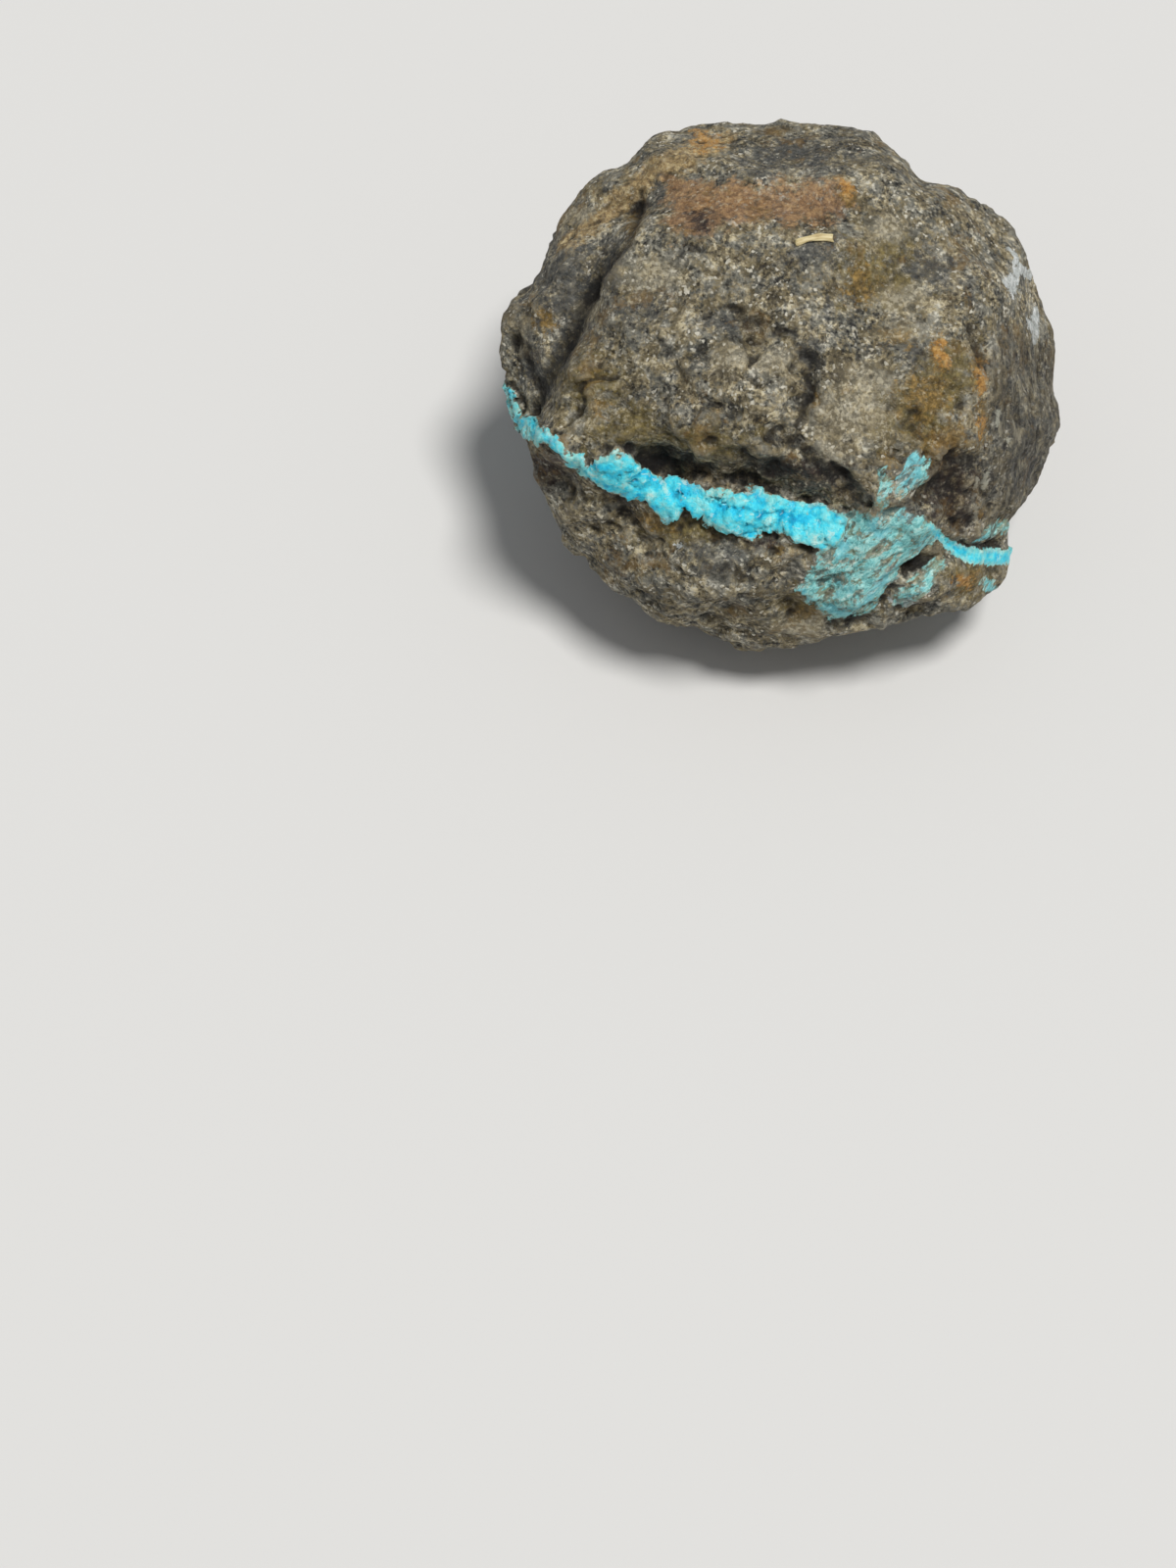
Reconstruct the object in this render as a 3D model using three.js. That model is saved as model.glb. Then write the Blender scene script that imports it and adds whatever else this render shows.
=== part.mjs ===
// A raw turquoise nugget: one lump of brown host rock with a blue seam grown through it.
// Lengths are in millimetres and +Z is up.
// The shape is worked out in the frame of its best face: x to the right, y up the face, z out of the face.
// The stone is then tipped back, so that this face looks up at an angle, and lies on the flat of its base.
import * as THREE from "three";
import { ImprovedNoise } from "three/addons/math/ImprovedNoise.js";
import { mergeVertices } from "three/addons/utils/BufferGeometryUtils.js";

// Driving dimensions
const FRONT_DEPTH = 27; // from the middle of the stone to the front of the face
const BACK_DEPTH = 28.5;
const FACE_ELEVATION = THREE.MathUtils.degToRad(57); // how far above the horizon the face looks
const BASE_DROP = 28.5; // from the middle of the stone down to the surface it lies on
const BASE_CENTRE = [0, -1]; // the middle of the stone as seen from the middle of its base
const BOXINESS = 2.5; // 2 makes an ellipsoid, more makes it squarer
const EDGE_SOFTNESS = 1.3; // how far broken edges between facets are worn back
const MESH_DETAIL = 19; // 8,000 triangles, about 2 mm across
const MESH_LEAN = new THREE.Vector3(0, -0.05, 0.22); // where the triangles are smaller: on the face

// The stone's edge seen square on to the face, anticlockwise from the right
const OUTLINE = [
  [34.3, 1.5],
  [34.9, 7],
  [35.1, 13],
  [33.6, 17],
  [30.5, 21.1],
  [26.3, 23.2],
  [23.3, 25],
  [17.8, 26],
  [16.2, 27.8],
  [14.4, 30],
  [11.3, 32],
  [6.8, 33.1],
  [-1.4, 33.5],
  [-2.8, 32.9],
  [-11.4, 34],
  [-14.4, 33.6],
  [-17.9, 30.4],
  [-20.1, 27.7],
  [-22.3, 27],
  [-26, 24.6],
  [-28.4, 20.6],
  [-30.2, 15.4],
  [-34.5, 11.5],
  [-35.8, 8.5],
  [-35.8, 5.5],
  [-34.5, -0.5],
  [-33, -5.3],
  [-31.2, -8.4],
  [-29.6, -14.6],
  [-27, -19.8],
  [-22.4, -25],
  [-17, -28.4],
  [-8, -32.2],
  [-3.4, -33.4],
  [2.1, -33.9],
  [7.3, -32.9],
  [11.6, -31.2],
  [19.8, -30.4],
  [23.3, -28.9],
  [26.3, -26.6],
  [29, -21.1],
  [28.6, -18],
  [30.3, -15.9],
  [33.4, -13.4],
  [35.3, -8.6],
  [35.9, -4.6],
  [34.6, -1.8],
];

// Flat breaks that bound the lump: outward direction, and distance from the middle of the stone
const FACETS = [
  { facing: [0.05, 0.2, 0.98], reach: 25.5 }, // broad upper face
  { facing: [0.02, 0.8, 0.6], reach: 30.5 }, // crown
  { facing: [-0.1, -0.6, 0.8], reach: 28.6 }, // lower body
  { facing: [-0.86, 0.1, 0.5], reach: 33.4 }, // left shoulder
  { facing: [0.89, 0.02, 0.45], reach: 32.6 }, // right flank
  { facing: [-0.52, 0.66, 0.54], reach: 32 }, // upper left bevel
  { facing: [0.52, 0.6, 0.6], reach: 31.5 }, // upper right bevel
  { facing: [0.62, -0.56, 0.55], reach: 31.8 }, // lower right
  { facing: [-0.62, 0.1, -0.78], reach: 29.5 }, // back, left half
  { facing: [0.62, 0.28, -0.73], reach: 30 }, // back, right half
  { facing: [0.1, 0.78, -0.62], reach: 31.5 }, // back of the crown
  { facing: [0.3, -0.88, -0.36], reach: 31 }, // under the lower body
];

// Rounded swellings and hollows of the face: middle, half width and half height, and lift out of the face
const MOUNDS = [
  { at: [8, -4.5], reach: [6.5, 6.5], lift: 1 }, // right cheek
  { at: [-6, 2], reach: [13, 9], lift: 0.9 }, // middle of the main lobe
  { at: [-21.5, -6], reach: [4.5, 3.6], lift: 1.5 }, // small knob above the seam
  { at: [-14.3, -8], reach: [2.6, 2], lift: -2 }, // deep hollow under the brow
  { at: [13.5, -7.7], reach: [1.8, 1.6], lift: -1.8 }, // hole beside the tongue
  { at: [21, -12.2], reach: [5.5, 4.5], lift: -2.2 }, // dark recess on the right
  { at: [23.2, -24.5], reach: [6, 5.5], lift: 1.5 }, // lower right lobe
  { at: [17.6, -25.2], reach: [3, 2.8], lift: 1.2 }, // chunk on that lobe
  { at: [-8, -23.5], reach: [7, 4.5], lift: 1.2 }, // lumps of the lower body
  { at: [-19, -18.5], reach: [5, 4], lift: -1 },
  { at: [1, -26], reach: [4, 5], lift: -0.8 },
  { at: [-12, 29], reach: [5, 3], lift: 0.9 }, // crown knob
];

// Ribs and ditches of the face: the line each follows, its half width, and its lift
const RIBS = [
  // Ochre strip along the upper left edge
  { line: [[-27, 19], [-22, 23.5], [-15, 28.5], [-8, 30.5]], half: 2.4, lift: 0.9 },
  // Line between that strip and the crown
  { line: [[-17.5, 25.2], [-12, 27.3], [-6, 29.8]], half: 1.3, lift: -1.1 },
  // Trough of the crown, and the lip below it
  { line: [[-15.5, 22.5], [-9, 23.5], [0, 23], [7.5, 22]], half: 2.8, lift: -1.7 },
  { line: [[-15, 17.5], [-8, 19], [0, 18.6], [8, 18.4]], half: 1.8, lift: 0.7 },
  // Crease and slanting overhang right of the middle of the main lobe
  { line: [[3.1, 1.8], [2.3, -0.9], [4, -4.6], [5.8, -6.9], [7.6, -10.4]], half: 1.3, lift: -1.3 },
  { line: [[-0.3, -6.8], [3, -9.4], [6.8, -11.7]], half: 1.4, lift: -1.2 },
  // Worn pits of the main lobe
  { line: [[-18.5, 10.6], [-15.5, 8.6]], half: 1.3, lift: -0.8 },
  { line: [[-8.5, 8], [-5, 7], [-3, 5.2]], half: 1.4, lift: -1.2 },
  { line: [[0.2, 6], [2.8, 3.4]], half: 1.3, lift: -1.1 },
  // Dark groove on the left shoulder
  { line: [[-32.5, 5.7], [-31, 2.4], [-29.8, -0.3]], half: 1.2, lift: -1.2 },
  // Turquoise tongue beside the recess
  { line: [[18, -8.6], [16.4, -10.6], [14.6, -12.8]], half: 1.4, lift: 1.1 },
  // Slit above the lower right lobe, and the undercut below it
  { line: [[21.5, -20], [25, -20.8], [29, -21.4]], half: 1.1, lift: -1.4 },
  { line: [[13, -27.6], [16.5, -28.6], [19.7, -29]], half: 1.3, lift: -1.3 },
  // Fan of slanting ledges at the lower right
  { line: [[2.5, -25.2], [8, -20], [13.5, -15]], half: 1.4, lift: 0.6 },
  { line: [[6, -28.5], [12, -22.5], [18, -17.5]], half: 1.4, lift: 0.7 },
  { line: [[11, -29.5], [16, -24], [20.5, -19]], half: 1.3, lift: -0.8 },
];

// Steps of the face: the ground to the right of the line, seen along it, drops and then slowly comes back
const STEPS = [
  // Groove that parts the left shoulder from the main lobe
  {
    line: [
      [-16.6, 26],
      [-16.8, 19.3],
      [-18.7, 17.2],
      [-20.9, 14.2],
      [-22.3, 10.6],
      [-23.5, 7],
      [-25.3, 3.4],
      [-27.1, -0.2],
      [-28, -3.8],
      [-27.6, -6.2],
    ],
    drop: 4.4,
    edge: 2,
    recovery: 13,
    fade: 0.08,
  },
  // Brow of the main lobe, rolling under above the seam
  {
    line: [
      [-28.5, -5.5],
      [-24.5, -8.2],
      [-20, -8.8],
      [-16, -7],
      [-10, -6.8],
      [-3, -8],
      [3, -9.6],
      [8, -11.6],
      [12, -11.4],
      [15, -10],
    ],
    drop: 5,
    edge: 4.5,
    recovery: 19,
    fade: 0.3,
  },
];

// The bright seam across the front: points along its middle, each with its half width
const SEAM = [
  { at: [-34.6, 0.2], half: 0.8 },
  { at: [-33, -4.4], half: 0.9 },
  { at: [-30.3, -5.3], half: 1.4 },
  { at: [-27.6, -7.2], half: 1.2 },
  { at: [-24.8, -9.3], half: 1.4 },
  { at: [-21, -10.6], half: 2 },
  { at: [-17.4, -12], half: 2.1 },
  { at: [-13.8, -13.7], half: 2 },
  { at: [-10.8, -13.8], half: 1.6 },
  { at: [-7.3, -15.2], half: 2.2 },
  { at: [-3.7, -15.8], half: 2.8 },
  { at: [-0.7, -16.1], half: 2.4 },
  { at: [2.9, -17], half: 2.2 },
  { at: [6.2, -17.4], half: 1.8 },
];
const SEAM_LIFT = 1.3;

// Round the back the seam follows one plane through the stone: facing, and distance from the middle
const SEAM_PLANE = new THREE.Plane(new THREE.Vector3(0.317, 0.923, 0.217).normalize(), 11.1);
const BACK_SEAM = { half: 1.5, lift: 0.8, patchSpacing: 12, seed: 7, missing: -0.25, whole: 0.1 };

// Small flat breaks all round the lump, spread evenly
const CHIP_COUNT = 70;
const CHIP_DEPTH = 1.9;
const CHIP_SOFTNESS = 0.5;

// Lumps of the weathered surface: distance from one to the next, and height
const LUMPS = [
  { spacing: 16, height: 1.3, seed: 3.7 },
  { spacing: 8, height: 0.9, seed: 11.2 },
];

// Crags, on the lower part of the face and all over the back: they fade out between two heights of the face
const CRAG = { spacing: 5.2, height: 1.2, seed: 31.4, full: -4, none: 14 };

// How far the lines of the face wander off course on the broken stone, and over what distance
const WANDER = { reach: 1, spacing: 6, seedX: 53.1, seedY: 77.7 };

// Where the parts of the surface meet, as heights out of the face from the middle of the stone
const FACE_STARTS = 1;
const FACE_FULL = 9;
const BACK_STARTS = 2;
const BACK_FULL = -6;
const RIM_HALF = 2; // the outline keeps its shape here, with little of the unevenness
const RIM_END = 12;
const RIM_UNEVENNESS = 0.3;

const noise = new ImprovedNoise();
const { clamp, lerp, smoothstep } = THREE.MathUtils;

// Radius of the outline at an angle round the face
function rimRadius(angle) {
  const ray = [Math.cos(angle), Math.sin(angle)];
  for (let i = 0; i < OUTLINE.length; i++) {
    const a = OUTLINE[i];
    const b = OUTLINE[(i + 1) % OUTLINE.length];
    const sideA = ray[0] * a[1] - ray[1] * a[0];
    const sideB = ray[0] * b[1] - ray[1] * b[0];
    const crosses = sideA <= 0 && sideB > 0;
    if (!crosses) continue;
    const t = sideA / (sideA - sideB);
    const x = lerp(a[0], b[0], t);
    const y = lerp(a[1], b[1], t);
    if (x * ray[0] + y * ray[1] > 0) return Math.hypot(x, y);
  }
  throw new Error("the outline doesn't go round the middle of the stone");
}

// The same outline with its corners averaged out, for the surface away from the rim
function softRimRadius(angle) {
  const step = THREE.MathUtils.degToRad(9);
  const stepsEachWay = 3;
  let total = 0;
  for (let k = -stepsEachWay; k <= stepsEachWay; k++) total += rimRadius(angle + k * step);
  return total / (2 * stepsEachWay + 1);
}

// The smaller of two lengths, with the change from one to the other rounded off
function softMin(a, b, softness) {
  const share = clamp(0.5 + (b - a) / (2 * softness), 0, 1);
  return lerp(b, a, share) - softness * share * (1 - share);
}

// Distance from the middle of the stone to its surface, before any detail
function lumpRadius(direction) {
  const across = Math.hypot(direction.x, direction.y);
  const angle = Math.atan2(direction.y, direction.x);
  const rim = lerp(softRimRadius(angle), rimRadius(angle), smoothstep(across, 0.65, 0.9));
  const depth = direction.z > 0 ? FRONT_DEPTH : BACK_DEPTH;
  const sum = (across / rim) ** BOXINESS + (Math.abs(direction.z) / depth) ** BOXINESS;
  let radius = sum ** (-1 / BOXINESS);
  for (const { facing, reach } of FACETS) {
    const slope = new THREE.Vector3(...facing).normalize().dot(direction);
    if (slope > 0.1) radius = softMin(radius, reach / slope, EDGE_SOFTNESS);
  }
  return radius;
}

// Directions spread evenly round the stone, each with a share of the chip depth
function chips() {
  const goldenAngle = Math.PI * (3 - Math.sqrt(5));
  const made = [];
  for (let i = 0; i < CHIP_COUNT; i++) {
    const z = 1 - (2 * i + 1) / CHIP_COUNT;
    const across = Math.sqrt(1 - z * z);
    const turn = i * goldenAngle;
    const facing = new THREE.Vector3(across * Math.cos(turn), across * Math.sin(turn), z);
    const share = 0.6 + 0.4 * Math.sin(i * 7.3);
    const offRim = smoothstep(Math.abs(z), 0.15, 0.4);
    made.push({ facing, reach: lumpRadius(facing) - CHIP_DEPTH * share * offRim });
  }
  return made;
}

const CHIPS = chips();

function chippedRadius(direction) {
  let radius = lumpRadius(direction);
  for (const { facing, reach } of CHIPS) {
    const slope = facing.dot(direction);
    if (slope > 0.8) radius = softMin(radius, reach / slope, CHIP_SOFTNESS);
  }
  return radius;
}

// Smooth, repeatable unevenness of about -1 to 1 at a point
function uneven(point, spacing, seed) {
  return noise.noise(point.x / spacing + seed, point.y / spacing, point.z / spacing);
}

// Where a point lies beside a line: distance, side (positive on the right), and share of the way along
function beside(line, x, y) {
  let best = { distance: Infinity, side: 1, along: 0 };
  for (let i = 0; i + 1 < line.length; i++) {
    const [ax, ay] = line[i];
    const [bx, by] = line[i + 1];
    const length = (bx - ax) ** 2 + (by - ay) ** 2;
    const t = ((x - ax) * (bx - ax) + (y - ay) * (by - ay)) / length;
    const held = clamp(t, 0, 1);
    const distance = Math.hypot(x - lerp(ax, bx, held), y - lerp(ay, by, held));
    if (distance >= best.distance) continue;
    const turn = (bx - ax) * (y - ay) - (by - ay) * (x - ax);
    best = { distance, side: turn < 0 ? 1 : -1, along: (i + held) / (line.length - 1) };
  }
  return best;
}

// A bell that is 1 in the middle and 0 from twice the half width outwards
function bell(distance, half) {
  return 1 - smoothstep(Math.abs(distance), 0, 2 * half);
}

function moundLift(x, y) {
  let lift = 0;
  for (const mound of MOUNDS) {
    const away = Math.hypot((x - mound.at[0]) / mound.reach[0], (y - mound.at[1]) / mound.reach[1]);
    lift += mound.lift * (1 - smoothstep(away, 0.2, 1.25));
  }
  return lift;
}

function ribLift(x, y) {
  let lift = 0;
  for (const rib of RIBS) lift += rib.lift * bell(beside(rib.line, x, y).distance, rib.half);
  return lift;
}

function stepDrop(x, y) {
  let drop = 0;
  for (const step of STEPS) {
    const { distance, side, along } = beside(step.line, x, y);
    const out = distance * side;
    const fall = smoothstep(out, -0.3 * step.edge, step.edge);
    const back = 1 - smoothstep(out, step.edge, step.recovery);
    const ends = smoothstep(along, 0, step.fade) * (1 - smoothstep(along, 1 - step.fade, 1));
    drop += step.drop * fall * back * ends;
  }
  return drop;
}

// How much of the bright seam a point of the face belongs to, from 0 to 1
function seamShare(x, y) {
  const line = SEAM.map((point) => point.at);
  const { distance, along } = beside(line, x, y);
  const place = along * (SEAM.length - 1);
  const index = Math.min(Math.floor(place), SEAM.length - 2);
  const half = lerp(SEAM[index].half, SEAM[index + 1].half, place - index);
  return 1 - smoothstep(distance, 0.7 * half, half + 0.9);
}

// How far the face stands out of the plain lump at a point
function faceLift(x, y) {
  return moundLift(x, y) + ribLift(x, y) - stepDrop(x, y) + SEAM_LIFT * seamShare(x, y);
}

function lumpiness(point) {
  let total = 0;
  for (const { spacing, height, seed } of LUMPS) total += height * uneven(point, spacing, seed);
  const cragged = point.z < 0 ? 1 : 1 - smoothstep(point.y, CRAG.full, CRAG.none);
  return total + CRAG.height * cragged * uneven(point, CRAG.spacing, CRAG.seed);
}

function backSeamLift(point) {
  const patch = uneven(point, BACK_SEAM.patchSpacing, BACK_SEAM.seed);
  const share = smoothstep(patch, BACK_SEAM.missing, BACK_SEAM.whole);
  return BACK_SEAM.lift * share * bell(SEAM_PLANE.distanceToPoint(point), BACK_SEAM.half);
}

// Surface of the stone in one direction from its middle
function surfacePoint(direction) {
  const point = direction.clone().multiplyScalar(chippedRadius(direction));
  const front = smoothstep(point.z, FACE_STARTS, FACE_FULL);
  const back = 1 - smoothstep(point.z, BACK_FULL, BACK_STARTS);
  const nearRim = 1 - smoothstep(Math.abs(point.z), RIM_HALF, RIM_END);
  const rough = lumpiness(point) * lerp(1, RIM_UNEVENNESS, nearRim) + backSeamLift(point) * back;
  const x = point.x + WANDER.reach * uneven(point, WANDER.spacing, WANDER.seedX);
  const y = point.y + WANDER.reach * uneven(point, WANDER.spacing, WANDER.seedY);
  point.z += faceLift(x, y) * front;
  return point.addScaledVector(direction, rough);
}

// The stone settles on a flat: what would reach lower is broken off there
function flattenBase(point) {
  const up = new THREE.Vector3(0, Math.cos(FACE_ELEVATION), Math.sin(FACE_ELEVATION));
  const below = -BASE_DROP - point.dot(up);
  return below > 0 ? point.addScaledVector(up, below) : point;
}

function nuggetGeometry() {
  const ball = new THREE.IcosahedronGeometry(1, MESH_DETAIL);
  ball.deleteAttribute("normal");
  ball.deleteAttribute("uv");
  const geometry = mergeVertices(ball, 1e-4);
  const position = geometry.getAttribute("position");
  for (let i = 0; i < position.count; i++) {
    const direction = new THREE.Vector3().fromBufferAttribute(position, i).normalize();
    direction.add(MESH_LEAN).normalize();
    const point = flattenBase(surfacePoint(direction));
    position.setXYZ(i, point.x, point.y, point.z);
  }
  geometry.computeVertexNormals();
  return geometry;
}

const hostRock = new THREE.MeshStandardMaterial({ color: 0x6b6153, roughness: 0.85, metalness: 0 });

const nugget = new THREE.Mesh(nuggetGeometry(), hostRock);
nugget.name = "nugget";
nugget.rotation.x = Math.PI / 2 - FACE_ELEVATION;
nugget.position.set(BASE_CENTRE[0], BASE_CENTRE[1], BASE_DROP);

const stone = new THREE.Group();
stone.add(nugget);

export default stone;
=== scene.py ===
"""A raw turquoise nugget: weathered brown host rock with a blue seam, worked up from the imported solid.

The stone's detail is worked out in the frame of its best face, in millimetres: x to the right, y up the
face and z out of it. That frame is tipped back and set down in the part's own frame, which is in metres.
"""
import itertools
import math

import bmesh
import bpy
import numpy as np
from mathutils import Matrix, Vector


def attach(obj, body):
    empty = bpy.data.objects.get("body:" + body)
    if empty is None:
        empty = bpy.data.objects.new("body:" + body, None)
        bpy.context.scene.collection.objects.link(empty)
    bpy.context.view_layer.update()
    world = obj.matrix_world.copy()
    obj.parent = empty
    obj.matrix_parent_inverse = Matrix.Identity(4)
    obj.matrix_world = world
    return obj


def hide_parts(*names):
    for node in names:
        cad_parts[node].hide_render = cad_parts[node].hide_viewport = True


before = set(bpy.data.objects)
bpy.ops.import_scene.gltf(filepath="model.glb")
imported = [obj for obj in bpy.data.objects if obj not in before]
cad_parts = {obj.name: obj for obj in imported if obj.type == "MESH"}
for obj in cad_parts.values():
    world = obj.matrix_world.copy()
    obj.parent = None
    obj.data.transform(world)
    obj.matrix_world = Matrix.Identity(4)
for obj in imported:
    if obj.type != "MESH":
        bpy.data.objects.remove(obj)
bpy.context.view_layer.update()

# The face frame in the part's frame, with the sizes that the solid was made with
MM = 0.001
FACE_ELEVATION = math.radians(57)
MIDDLE = np.array((0.0, -1.0, 28.5))  # middle of the stone, in mm in the part's frame
TIP = math.pi / 2 - FACE_ELEVATION
FACE_X = np.array((1.0, 0.0, 0.0))
FACE_Y = np.array((0.0, math.cos(TIP), math.sin(TIP)))
FACE_Z = np.array((0.0, -math.sin(TIP), math.cos(TIP)))
FACE_AXES = np.stack((FACE_X, FACE_Y, FACE_Z))

# How the solid is worked up
WELD_DISTANCE = 1e-7  # metres
REFINE_LEVELS = 2  # times that each face of the solid is divided into four
EASE_ROUNDS = 3  # averaging that rubs off the marks of the solid's triangles
NARROW_ROUNDS = 8  # averaging that tells small hollows from small rises
WIDE_ROUNDS = 60  # averaging that tells wide hollows from wide rises
DRAWN_OUT = 0.5  # share by which wide rises and hollows are made stronger
BASE_HELD = 1.6  # mm above the floor over which the detail fades out, so that the base stays flat
DEPTH_KEPT = 0.993  # the detail stands out most at the front and back, so the depth is drawn in

# Depths, heights and distances of the detail, in mm
GROOVE_DEPTH = 0.6
RECESS_DEPTH = 0.3
CREVICE_DEPTH = 0.5
CRACK_DEPTH = 0.5
PIT_DEPTH = 0.5
LEDGE_HEIGHT = 0.3
FINE_LEDGE_HEIGHT = 0.14
FLANK_LINE_HEIGHT = 0.2
STRIP_LINE_HEIGHT = 0.2
SEAM_HEIGHT = 0.5
KNOT_SPACING = 1.15  # from one nodule of the seam to the next
FAR = 30.0  # further than anything that matters on the face

# Depths in the face frame, in mm, between which a thing fades in or out from back to front
DRAWN_FROM = (-9, -3)  # what is drawn on the face
MOVED_FROM = (-18, -8)  # the moved forms
BACK_UP_TO = (-4, 2)  # the colours and the seam of the back
SOFT_UP_TO = (-10, -2)  # the softer breaks of the back

# Lines on the face in its own frame: x, y and half the width there
SEAM = (
    (-34.8, 0.2, 0.4), (-33, -4.4, 0.4), (-31.2, -5.3, 1), (-29.4, -6.2, 0.8), (-27.6, -7.2, 0.35),
    (-24.8, -9.3, 0.45), (-22.8, -10.6, 0.9), (-20.2, -10.7, 2.1), (-17.4, -12, 1.7), (-15.2, -13, 1.5),
    (-13.6, -13.9, 2.2), (-11, -14.2, 1.2), (-8.8, -14.7, 1.6), (-6, -15.6, 2.4), (-3.7, -15.9, 2.9),
    (-1, -16, 2.1), (1.2, -16.3, 1.6), (3.2, -17, 2.1), (5, -17.4, 2.4), (6, -17.4, 2.1),
)
THIN_SEAM = (
    (18.2, -17.6, 0.7), (20.4, -19.2, 0.8), (22.2, -20.8, 1), (24.4, -21.9, 1.1), (29.4, -21.9, 1.2),
)
TEAL_LINES = (
    ((24.4, -19.6, 0.3), (26.6, -18.6, 0.5), (28.4, -17.9, 0.6)),
    ((12.2, -10.8, 0.4), (13, -12.2, 0.6), (12.6, -14.2, 0.5)),
    ((19.8, -22.8, 0.7), (17.6, -24.8, 1), (15.4, -26.8, 0.9)),
    ((26.2, -25, 0.4), (26.8, -26, 0.4)),
)
CREVICES = (
    ((-18.5, -8.4, 0.5), (-15.5, -8.6, 1.1), (-12.6, -9.6, 0.9), (-9, -9.6, 0.6)),
    ((-3.8, -9, 0.5), (-1.4, -9.8, 0.9), (1.4, -10.6, 0.7)),
    ((-0.7, -6.7, 0.4), (2, -7.6, 0.7), (5, -9.9, 0.9), (7.4, -11.8, 0.7), (9, -12.6, 0.3)),
    ((3.6, -0.4, 0.3), (3.1, -1.9, 0.6), (2.3, -5.3, 0.4), (2.2, -7.4, 0.5)),
    ((-6.8, 9.9, 0.4), (-4.6, 9, 0.6), (-3.2, 7.4, 0.5), (-0.6, 6.4, 0.5), (2, 6.6, 0.3)),
    ((-14.6, 5.4, 0.3), (-13.8, 4, 0.35)),
    ((-9.6, 4.2, 0.3), (-8.6, 2.8, 0.35)),
    ((-11.4, 16.9, 0.35), (-10.2, 16.6, 0.45)),
    ((23.6, 6, 0.3), (24, 4.2, 0.5), (24.6, 2.6, 0.3)),
    ((2.8, 4, 0.5), (5, 2.6, 0.4)),
    ((-8.4, -23.6, 0.3), (-6, -23.2, 0.5), (-3.4, -24.8, 0.4)),
    ((6.1, -30.1, 0.4), (10.8, -29.2, 0.5)),
    ((14, -28, 0.4), (16.9, -28, 0.4)),
    ((16.8, -22.9, 0.5), (19, -21.9, 0.5)),
    ((20.8, -9.2, 0.6), (23.6, -9.9, 0.7)),
    ((22, -20.3, 0.2), (25, -20.9, 0.4), (29, -21, 0.4)),
    ((-33, 6.5, 0.3), (-32, 3, 0.7), (-30.6, 0, 0.8), (-29.6, -2, 0.8)),
)
GROOVE = (
    (-17.6, 24.6, 0.2), (-17.9, 20.8, 0.4), (-19, 17.8, 0.6), (-22.3, 14, 0.8), (-24.2, 10.6, 0.9),
    (-25.9, 6.8, 1), (-27.8, 3.2, 1), (-29.6, 0.2, 0.9), (-30.6, -3, 0.5),
)
RECESSES = (
    (
        (-17, -9.8, 0.6), (-12.6, -10.8, 1), (-7, -11.2, 0.8), (-2, -11.4, 0.9), (4, -12.4, 1),
        (9, -13.6, 0.6),
    ),
    ((20, -9.6, 1.4), (21.5, -12.6, 2.2), (22.5, -16, 1.2)),
)
STRIP = (
    (-27, 17.4, 1), (-24.5, 19.6, 1.2), (-20.9, 22.6, 1.3), (-16, 26.6, 1.5), (-11.4, 28.8, 1.6),
    (-7, 31, 1.2),
)
PALE_DASHES = (
    ((26.9, -3.4, 0.25), (26.8, -5, 0.25)),
    ((28, -6.6, 0.25), (28.5, -7.4, 0.2)),
    ((24.6, -11.8, 0.3), (24.3, -13, 0.25)),
    ((26.2, -10.4, 0.2), (25.7, -13.2, 0.2)),
    ((24.2, -15, 0.3), (24.4, -16.8, 0.3)),
)
CRUST = (
    ((28.8, 17.4, 0.4), (30, 15.8, 0.4), (29.6, 14.8, 0.4)),
    ((33.4, 14.4, 0.6), (31.4, 14.4, 0.7), (29.6, 14, 0.7), (28.6, 12.8, 0.6), (29, 11, 0.5)),
    ((32.2, 8.8, 0.5), (31.8, 7.4, 0.9), (32, 5.8, 0.5)),
    ((14, -27.2, 0.4), (16.4, -27.4, 0.5)),
    ((-12.9, -20, 0.3), (-12.4, -20.5, 0.3)),
)

# Where the smooth copy is swelled or drawn in: x, y and reach, and how far it moves to the right and up
MOVED_FORMS = (
    (23.6, -25.8, 9.6, 1.8, -2.6),
    (33.5, -4, 5, 0.9, 0),
    (33, -11.5, 6, -1.1, 0.4),
    (-32.5, 13, 5, 0.9, -0.9),
)

# Hollows of the solid that are shallower on the stone: x, y and reach, and how far they are filled
FILLED = ((15.1, -8.2, 3.2, 1.3),)

# Outlines on the face
TONGUE = (
    (16.5, -8), (17.4, -8.9), (18.2, -9), (17.6, -10.4), (17.3, -12.1), (15.8, -12.6), (14.2, -14),
    (14.4, -11.8), (15.2, -9.8),
)
FAN = (
    (5.9, -15.8), (8.5, -15.4), (12.1, -15.6), (14, -14.6), (15.6, -15.4), (18.4, -16.8), (19.2, -18.4),
    (18.9, -20), (17, -21.4), (13.8, -24.4), (12.8, -27), (12, -28.6), (9.4, -29.6), (6.1, -30), (3.4, -27),
    (2, -25.6), (3.6, -23.4), (5.2, -20.4), (6.6, -19.2),
)
FAN_SLANT = math.radians(43)
RED_BAND = (
    (-14.2, 26), (-8, 25.8), (0, 25), (7.6, 25), (9, 23.4), (8, 20.8), (1, 19.6), (-5, 20),
    (-9, 18.6), (-13, 18.6), (-14.4, 21),
)

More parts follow.
